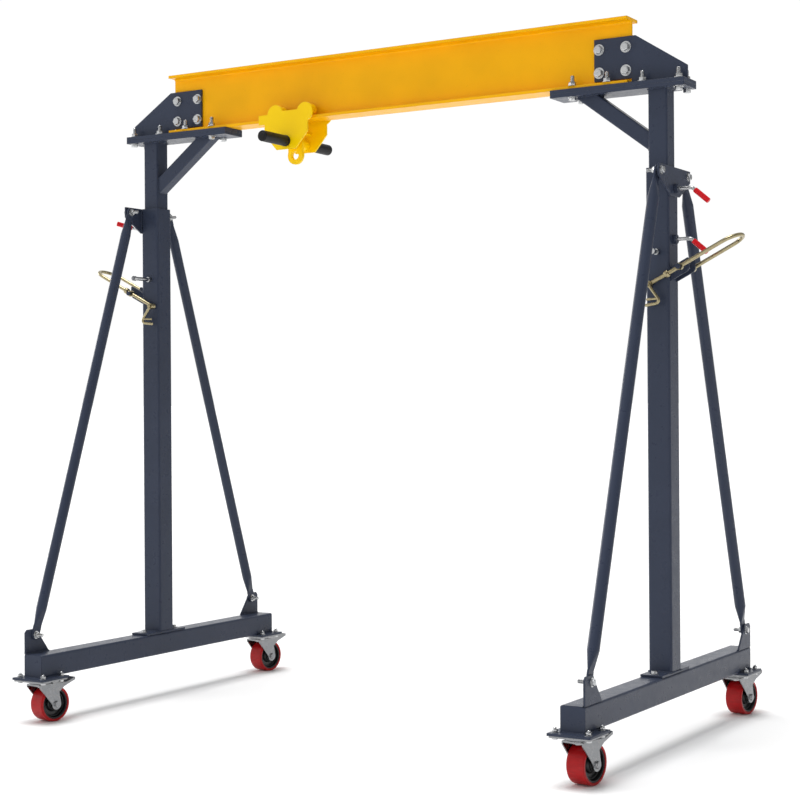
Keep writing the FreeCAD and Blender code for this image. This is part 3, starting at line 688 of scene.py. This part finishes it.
class CRANE_OT_fittings(bpy.types.Operator):
    """Add the lever rings, and the end caps and collars of the handles"""
    bl_idname = "crane.fittings"
    bl_label = "Fittings"

    def execute(self, context):
        for name, side in LEGS.items():
            pivot = Vector(JOINTS[name + "_lever_turn"]["pos_m"])
            along = Vector((side * math.cos(LEVER_SLOPE), 0, math.sin(LEVER_SLOPE)))
            band = turned((6, -7), (10.5, -7), (11.5, -5.5), (11.5, 5.5), (10.5, 7), (6, 7), steps=28)
            spot = pivot + Vector((0, -LEVER_ARM_Y, 0)) + along * LEVER_RING_AT[name]
            repeated(band, name + "_lever_ring", "yellow zinc", name + "_lever", [(spot, along, 0.0)])
            discard(band)
        handle_z = (HANDLE_LOW.z + HANDLE_HIGH.z) / 2
        handle_x = (HANDLE_LOW.x + HANDLE_HIGH.x) / 2
        plug = spun([(0.0, 0.0), (12 * MM, 0.0), (11 * MM, 1.5 * MM),
                     (4 * MM, 1.8 * MM), (0.0, 1.8 * MM)], 24)
        band = spun([(19.8 * MM, -3 * MM), (21 * MM, -1.5 * MM),
                     (21 * MM, 1.5 * MM), (19.8 * MM, 3 * MM)], 32)

        def both_ways(y):
            return [(Vector((handle_x, way * y, handle_z)), (0, way, 0), 0.0) for way in (-1, 1)]

        repeated(plug, "handle_ends", "black rubber", "trolley", both_ways(HANDLE_HIGH.y))
        repeated(band, "handle_collars", "black rubber", "trolley", both_ways(TROLLEY_FACE + 6 * MM))
        discard(plug, band)
        return {"FINISHED"}


# ---- stage ----
HORIZON = 1.02       # brightness of the studio round the floor
ZENITH = 0.45        # and straight above
SHADE = 0.34         # and of the two unlit walls, at the front right and the back right
STRIP = 4.0          # how much brighter the tall lamp at the crane's left side is
FRONT_WALL, BACK_WALL, LAMP_SIDE = (0.82, -0.57, 0.0), (0.48, 0.88, 0.0), (-0.98, 0.2, 0.0)
SUN_STRENGTH, SUN_SPREAD, SUN_WAY = 2.3, math.radians(30), (0.10, 0.10, -1.0)
CAMERA_PLACE = (3.1969, -5.2224, 1.1253)
CAMERA_YAW, CAMERA_PITCH, CAMERA_ROLL = math.radians(31.07), math.radians(0.10), math.radians(-0.38)
CAMERA_LENS, CAMERA_SENSOR = 77.2, 36


class CRANE_OT_stage(bpy.types.Operator):
    """Lay the pale floor and set the lights and the camera"""
    bl_idname = "crane.stage"
    bl_label = "Stage"

    def execute(self, context):
        scene = context.scene
        deselect()
        bpy.ops.mesh.primitive_plane_add(size=2000, location=(0, 0, 0))
        floor = bpy.context.object
        floor.name = "floor"
        material, tree, place = start_material("studio floor")
        mottle = noise(tree, place, 1.5, 2.0)
        tone = linear(scene.crane_colours.floor)
        colour = blend_colours(tree, mottle, shaded(tone, 0.985), tone)
        end_material(tree, add(tree, "ShaderNodeBsdfPrincipled", {"Base Color": colour, "Roughness": 0.8}))
        floor.data.materials.append(material)
        self.light_world(scene)
        bpy.ops.object.light_add(type="SUN", location=(0, 0, 6))
        lamp = bpy.context.object
        lamp.name = "softbox"
        lamp.data.energy = SUN_STRENGTH
        lamp.data.angle = SUN_SPREAD
        lamp.rotation_euler = Vector(SUN_WAY).to_track_quat("-Z", "Y").to_euler()
        yaw, pitch, roll = CAMERA_YAW, CAMERA_PITCH, CAMERA_ROLL
        forward = Vector((-math.sin(yaw) * math.cos(pitch), math.cos(yaw) * math.cos(pitch), math.sin(pitch)))
        right = Vector((math.cos(yaw), math.sin(yaw), 0))
        up = right.cross(forward)
        right, up = right * math.cos(roll) + up * math.sin(roll), up * math.cos(roll) - right * math.sin(roll)
        turn = Matrix((right, up, -forward)).transposed().to_4x4()
        camera = bpy.data.objects.new("camera", bpy.data.cameras.new("camera"))
        camera.data.lens = CAMERA_LENS
        camera.data.sensor_width = CAMERA_SENSOR
        camera.data.clip_end = 4000
        camera.matrix_world = Matrix.Translation(CAMERA_PLACE) @ turn
        scene.collection.objects.link(camera)
        scene.camera = camera
        return {"FINISHED"}

    def light_world(self, scene):
        """Walls, lamp and ceiling that the crane mirrors; the backdrop itself shows plain."""
        world = bpy.data.worlds.new("studio")
        world.use_nodes = True
        sky = world.node_tree
        around = add(sky, "ShaderNodeTexCoord", {}).outputs["Generated"]
        height = add(sky, "ShaderNodeSeparateXYZ", {"Vector": around}).outputs["Z"]

        def towards(way):
            facing = add(sky, "ShaderNodeVectorMath", {0: around, 1: way}, operation="DOT_PRODUCT")
            return facing.outputs["Value"]

        def combine(operation, first, second):
            return add(sky, "ShaderNodeMath", {0: first, 1: second}, operation=operation).outputs["Value"]

        front = ramp(sky, towards(FRONT_WALL), 0.1, 0.8, 1.0, SHADE)
        back = ramp(sky, towards(BACK_WALL), 0.72, 0.92, 1.0, SHADE)
        strip = ramp(sky, towards(LAMP_SIDE), 0.93, 0.97, 0.0, STRIP)
        lit = combine("ADD", combine("MULTIPLY", front, back), strip)
        strength = combine("MULTIPLY", ramp(sky, height, 0.25, 1.0, HORIZON, ZENITH), lit)
        seen = add(sky, "ShaderNodeLightPath", {}).outputs["Is Camera Ray"]
        shown = add(sky, "ShaderNodeMix", {0: seen, 2: strength, 3: HORIZON}, data_type="FLOAT").outputs[0]
        sky.links.new(shown, sky.nodes["Background"].inputs["Strength"])
        sky.nodes["Background"].inputs["Color"].default_value = (1, 1, 1, 1)
        scene.world = world
        scene.view_settings.view_transform = "Standard"


STEPS = (CRANE_OT_finishes, CRANE_OT_stage, CRANE_OT_welds, CRANE_OT_head_bolts, CRANE_OT_leg_bolts,
         CRANE_OT_wheels, CRANE_OT_fittings)


class CRANE_PT_panel(bpy.types.Panel):
    """Buttons for each step, in order"""
    bl_label = "Gantry crane"
    bl_idname = "CRANE_PT_panel"
    bl_space_type = "VIEW_3D"
    bl_region_type = "UI"
    bl_category = "Crane"

    def draw(self, context):
        for step in STEPS:
            self.layout.operator(step.bl_idname)
        for group in (context.scene.crane_colours, context.scene.crane_sizes):
            for name in group.__annotations__:
                self.layout.prop(group, name)


CLASSES = (CraneColours, CraneSizes) + STEPS + (CRANE_PT_panel,)


def register():
    for cls in CLASSES:
        bpy.utils.register_class(cls)
    bpy.types.Scene.crane_colours = bpy.props.PointerProperty(type=CraneColours)
    bpy.types.Scene.crane_sizes = bpy.props.PointerProperty(type=CraneSizes)


def unregister():
    del bpy.types.Scene.crane_sizes
    del bpy.types.Scene.crane_colours
    for cls in reversed(CLASSES):
        bpy.utils.unregister_class(cls)


def main():
    register()
    for step in STEPS:
        group, name = step.bl_idname.split(".")
        getattr(getattr(bpy.ops, group), name)()


if __name__ == "__main__":
    main()
